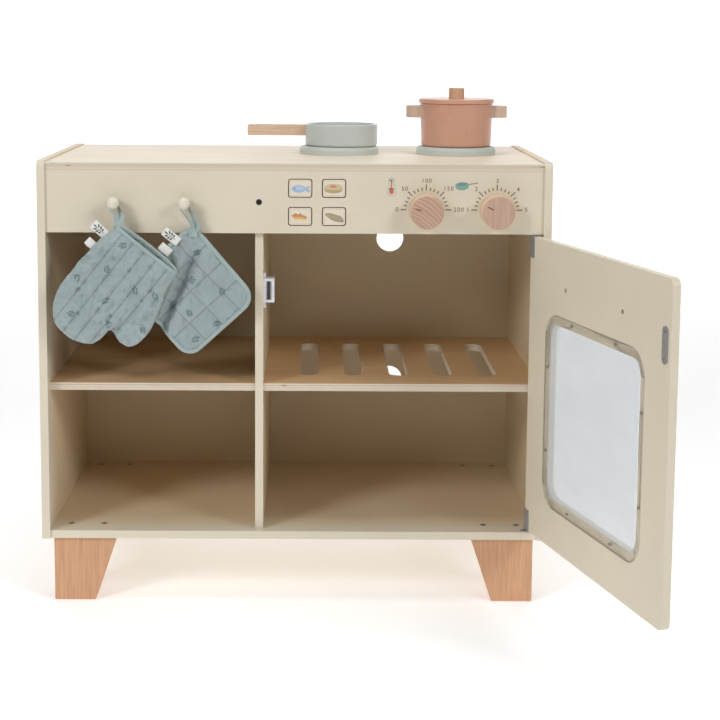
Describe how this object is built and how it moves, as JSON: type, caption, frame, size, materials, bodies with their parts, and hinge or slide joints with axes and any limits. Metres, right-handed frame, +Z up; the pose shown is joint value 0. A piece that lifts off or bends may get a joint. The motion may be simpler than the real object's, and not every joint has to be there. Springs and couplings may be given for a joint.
{
  "type": "toy kitchen",
  "caption": "Wooden play kitchen: painted cabinet with an open compartment, oven with glazed door, knobs, picture buttons, hob discs, pan, lidded pot, oven mitt and pot holder.",
  "frame": {"origin": "on the floor, at the middle of the whole part's outline with its door open 106 degrees: in the plane of the side panels' front edges, 40 mm to the right of the cabinet's middle", "axes": "+X to the right and +Y to the back, seen from the front; +Z up"},
  "size_m": [0.6835, 0.6107, 0.6117],
  "materials": {
    "cream_paint": "matt cream paint on 9.5 mm board",
    "plywood": "clear lacquered birch plywood",
    "beech": "plain sanded beech",
    "cream_knob_paint": "satin cream paint",
    "sage_paint": "satin sage green paint",
    "terracotta_paint": "satin terracotta paint",
    "printed_button": "cream with a printed picture",
    "white_plastic": "moulded",
    "nylon": "moulded nylon",
    "zinc_steel": "bright zinc plated",
    "dark_screw": "blackened steel",
    "spring_steel": "bright spring wire",
    "magnet": "ferrite magnet",
    "clear_pane": "clear acrylic sheet",
    "blue_cotton": "quilted cotton, sage blue with a small leaf print",
    "blue_tape": "folded cotton tape"
  },
  "bodies": {
    "cabinet": {"side_panel_left": "cream_paint", "side_panel_right": "cream_paint", "bottom_panel": "cream_paint", "centre_divider": "cream_paint", "worktop": "plywood", "back_panel": "cream_paint", "carcass_screws": "dark_screw", "back_panel_screws": "zinc_steel", "foot_screws": "zinc_steel", "left_shelf": "plywood", "oven_rack": "plywood", "foot_front_left": "beech", "foot_front_right": "beech", "foot_rear_left": "beech", "foot_rear_right": "beech", "control_panel": "cream_paint", "hook_peg_left": "cream_knob_paint", "hook_peg_right": "cream_knob_paint", "hook_peg_screws": "zinc_steel", "button_spring_fish": "spring_steel", "button_spring_cake": "spring_steel", "button_spring_pie": "spring_steel", "button_spring_bread": "spring_steel", "button_housing": "white_plastic", "knob_bushes": "nylon", "magnetic_catch": "white_plastic", "catch_magnet": "magnet", "catch_pole_plates": "zinc_steel", "hinge_plates": "zinc_steel", "fitting_screws": "zinc_steel", "hob_disc_left": "sage_paint", "hob_disc_right": "sage_paint", "hob_disc_screws": "zinc_steel"},
    "oven_door": {"door_panel": "cream_paint", "door_window": "clear_pane", "window_screws": "zinc_steel", "door_handle": "beech", "handle_screws": "dark_screw", "strike_plate": "zinc_steel", "door_fitting_screws": "zinc_steel", "hinge_leaves": "zinc_steel", "hinge_pins": "zinc_steel"},
    "temperature_knob_body": {"temperature_knob": "beech", "temperature_knob_bolt": "zinc_steel"},
    "hob_knob_body": {"hob_knob": "beech", "hob_knob_bolt": "zinc_steel"},
    "fish_button": {"button_fish": "printed_button"},
    "cake_button": {"button_cake": "printed_button"},
    "pie_button": {"button_pie": "printed_button"},
    "bread_button": {"button_bread": "printed_button"},
    "pan": {"pan_body": "sage_paint", "pan_handle": "beech"},
    "pot": {"pot_body": "terracotta_paint", "pot_handles": "beech"},
    "lid": {"pot_lid": "terracotta_paint", "lid_knob": "beech"},
    "mitt": {"oven_mitt": "blue_cotton", "oven_mitt_loop": "blue_tape"},
    "holder": {"pot_holder": "blue_cotton", "pot_holder_loop": "blue_tape"}
  },
  "joints": [
    {"name": "door_hinge", "type": "hinge", "parent": "cabinet", "child": "oven_door", "pos_m": [0.243, 0.007, 0.267], "axis": [0, 0, 1], "range_deg": [-106, 0]},
    {"name": "temperature_knob_turn", "type": "hinge", "parent": "cabinet", "child": "temperature_knob_body", "pos_m": [0.113, 0.0025, 0.474], "axis": [0, -1, 0], "continuous": true},
    {"name": "hob_knob_turn", "type": "hinge", "parent": "cabinet", "child": "hob_knob_body", "pos_m": [0.1955, 0.0025, 0.474], "axis": [0, -1, 0], "continuous": true},
    {"name": "fish_button_press", "type": "slide", "parent": "cabinet", "child": "fish_button", "axis": [0, 1, 0], "range_m": [0, 0.003], "stiffness_N_per_m": 150, "springref_m": -0.004, "deforming": ["button_spring_fish"]},
    {"name": "cake_button_press", "type": "slide", "parent": "cabinet", "child": "cake_button", "axis": [0, 1, 0], "range_m": [0, 0.003], "stiffness_N_per_m": 150, "springref_m": -0.004, "deforming": ["button_spring_cake"]},
    {"name": "pie_button_press", "type": "slide", "parent": "cabinet", "child": "pie_button", "axis": [0, 1, 0], "range_m": [0, 0.003], "stiffness_N_per_m": 150, "springref_m": -0.004, "deforming": ["button_spring_pie"]},
    {"name": "bread_button_press", "type": "slide", "parent": "cabinet", "child": "bread_button", "axis": [0, 1, 0], "range_m": [0, 0.003], "stiffness_N_per_m": 150, "springref_m": -0.004, "deforming": ["button_spring_bread"]},
    {"name": "pan_lift", "type": "slide", "parent": "cabinet", "child": "pan", "axis": [0, 0, 1], "range_m": [0, 0.15]},
    {"name": "pot_lift", "type": "slide", "parent": "cabinet", "child": "pot", "axis": [0, 0, 1], "range_m": [0, 0.15]},
    {"name": "lid_lift", "type": "slide", "parent": "pot", "child": "lid", "axis": [0, 0, 1], "range_m": [0, 0.08]},
    {"name": "mitt_swing", "type": "hinge", "parent": "cabinet", "child": "mitt", "pos_m": [-0.249, -0.0058, 0.483], "axis": [0, 1, 0], "range_deg": [-25, 25]},
    {"name": "pot_holder_swing", "type": "hinge", "parent": "cabinet", "child": "holder", "pos_m": [-0.1673, -0.0058, 0.483], "axis": [0, 1, 0], "range_deg": [-4, 25]}
  ]
}
